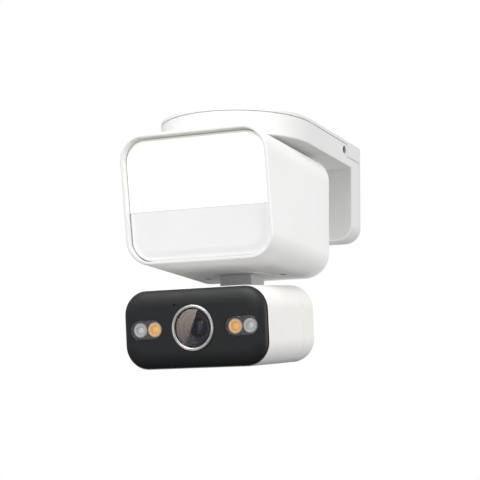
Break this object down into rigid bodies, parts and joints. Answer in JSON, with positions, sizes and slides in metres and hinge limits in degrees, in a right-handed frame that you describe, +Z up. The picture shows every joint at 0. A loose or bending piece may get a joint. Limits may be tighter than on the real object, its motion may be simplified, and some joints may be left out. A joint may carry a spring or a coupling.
{
  "type": "floodlight security camera",
  "caption": "Wall-mounted lamp head on an L-shaped bracket, with a camera head that pans and tilts on a neck below the lamp.",
  "frame": {"origin": "centre of the mounting plate's back face, which lies on the wall", "axes": "+X to the right of someone facing the front, +Y into the wall, +Z up; the front faces -Y"},
  "size_m": [0.114, 0.1862, 0.1847],
  "materials": {
    "bracket_white": "moulded, fine texture",
    "lamp_white": "moulded, fine texture",
    "camera_white": "moulded, fine texture",
    "neck_grey": "moulded",
    "diffuser": "opal, lit from behind",
    "panel_white": "moulded, smooth",
    "panel_black": "satin",
    "dark_plastic": "moulded",
    "white_inner": "moulded",
    "window_clear": "clear, lightly smoked",
    "lens_glass": "coated",
    "ring_silver": "satin",
    "reflector_silver": "clear moulding over a bright cup",
    "reflector_amber": "clear moulding over a yellow chip",
    "steel": "machined",
    "aluminium": "extruded",
    "black_board": "glass fibre board with black solder mask",
    "circuit_board": "glass fibre board with solder mask",
    "brass": "turned",
    "gear_white": "moulded acetal",
    "seal_rubber": "moulded silicone",
    "flap_rubber": "moulded silicone",
    "cell_wrap": "heat-shrunk sleeve"
  },
  "bodies": {
    "bracket": {"mount_plate": "bracket_white", "bracket_housing": "bracket_white", "bracket_lock_screw": "steel", "swivel_post": "steel", "swivel_washer": "dark_plastic", "swivel_nut": "steel"},
    "lamp": {"lamp_shell": "lamp_white", "light_diffuser": "diffuser", "sensor_panel": "panel_white", "lamp_front_seal": "seal_rubber", "light_box": "white_inner", "lamp_led_board": "aluminium", "heat_sink": "aluminium", "motion_sensor_dome": "white_inner", "motion_sensor": "steel", "battery_cell_1": "cell_wrap", "battery_cell_2": "cell_wrap", "battery_tray": "dark_plastic", "main_board": "circuit_board", "charge_socket": "steel", "pan_base": "dark_plastic", "lamp_screw_left": "steel", "lamp_screw_right": "steel", "pan_bush": "brass", "pan_motor": "steel"},
    "charge_flap": {"port_flap": "flap_rubber"},
    "button": {"power_button": "flap_rubber"},
    "pan_drive": {"pan_pinion": "brass"},
    "pan_stage": {"pan_disc": "neck_grey", "pan_gear": "gear_white", "pan_retainer": "steel", "neck_arm": "neck_grey", "tilt_axle": "steel", "tilt_gear": "gear_white"},
    "camera": {"camera_shell": "camera_white", "camera_rear_cover": "camera_white", "tilt_cradle": "dark_plastic", "front_panel": "panel_black", "panel_seal": "seal_rubber", "lens_ring": "ring_silver", "lens_glass": "lens_glass", "lens_hood": "dark_plastic", "lens_barrel": "dark_plastic", "front_lens": "lens_glass", "image_sensor_board": "circuit_board", "light_window_left": "window_clear", "light_window_right": "window_clear", "infrared_light_left": "reflector_silver", "infrared_light_right": "reflector_silver", "white_light_left": "reflector_amber", "white_light_right": "reflector_amber", "cover_screw_left": "steel", "cover_screw_right": "steel", "camera_light_board": "black_board", "status_light": "window_clear", "camera_board": "circuit_board", "speaker": "steel", "tilt_motor": "steel"},
    "tilt_drive": {"tilt_pinion": "brass"}
  },
  "joints": [
    {"name": "lamp_swivel", "type": "hinge", "parent": "bracket", "child": "lamp", "pos_m": [0, -0.105, 0], "axis": [0, 0, 1], "range_deg": [-45, 45]},
    {"name": "flap_hinge", "type": "hinge", "parent": "lamp", "child": "charge_flap", "pos_m": [0.02, -0.063, -0.058], "axis": [-1, 0, 0], "range_deg": [0, 110]},
    {"name": "button_press", "type": "slide", "parent": "lamp", "child": "button", "axis": [0, -1, 0], "range_m": [0, 0.0008], "stiffness_N_per_m": 600},
    {"name": "pan", "type": "hinge", "parent": "lamp", "child": "pan_stage", "pos_m": [0, -0.0965, 0], "axis": [0, 0, 1], "range_deg": [-170, 170]},
    {"name": "tilt", "type": "hinge", "parent": "pan_stage", "child": "camera", "pos_m": [0, -0.0965, -0.1102], "axis": [1, 0, 0], "range_deg": [-11, 50]},
    {"name": "pan_drive_spin", "type": "hinge", "parent": "lamp", "child": "pan_drive", "pos_m": [0, -0.1235, 0], "axis": [0, 0, 1], "range_deg": [-600, 600]},
    {"name": "tilt_drive_spin", "type": "hinge", "parent": "camera", "child": "tilt_drive", "pos_m": [0, -0.1084, -0.11173], "axis": [1, 0, 0], "range_deg": [-24, 102]}
  ],
  "couplings": [
    {"joint": "pan_drive_spin", "follows": "pan", "ratio": -3.5},
    {"joint": "tilt_drive_spin", "follows": "tilt", "ratio": 2}
  ]
}
